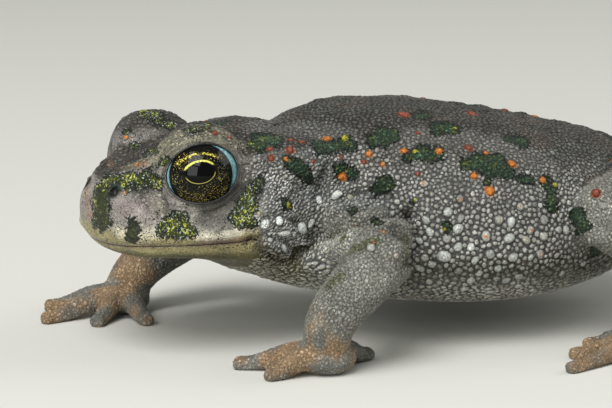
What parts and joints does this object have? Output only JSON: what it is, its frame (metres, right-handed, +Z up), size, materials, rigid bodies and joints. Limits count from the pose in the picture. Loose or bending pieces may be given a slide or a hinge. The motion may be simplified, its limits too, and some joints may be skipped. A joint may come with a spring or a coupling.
{
  "type": "european green toad",
  "caption": "Life-size still model of a European green toad, alert and raised on its forelegs, with warty spotted skin and gold-flecked eyes.",
  "frame": {"origin": "centre of the bounding box, on the floor that the palms and soles rest on", "axes": "-Y is the way the body faces, +X is the animal's left, +Z is up"},
  "size_m": [0.063, 0.0704, 0.0246],
  "materials": {
    "skin": "moist warty skin, grey-brown with green patches and orange warts",
    "pale_skin": "moist finely grained pale skin",
    "limb_skin": "moist grey-brown skin with green spots",
    "eardrum": "thin smooth skin",
    "eye": "wet gloss, black with gold flecks"
  },
  "bodies": {
    "root": {"head": "skin", "lower_jaw": "pale_skin", "torso": "skin", "eye_left": "eye", "eye_right": "eye", "ear_left": "eardrum", "ear_right": "eardrum", "upper_arm_left": "limb_skin", "upper_arm_right": "limb_skin", "forearm_left": "limb_skin", "forearm_right": "limb_skin", "hand_left": "limb_skin", "hand_right": "limb_skin", "thigh_left": "limb_skin", "thigh_right": "limb_skin", "shank_left": "limb_skin", "shank_right": "limb_skin", "ankle_left": "limb_skin", "ankle_right": "limb_skin", "foot_left": "limb_skin", "foot_right": "limb_skin"}
  },
  "joints": []
}
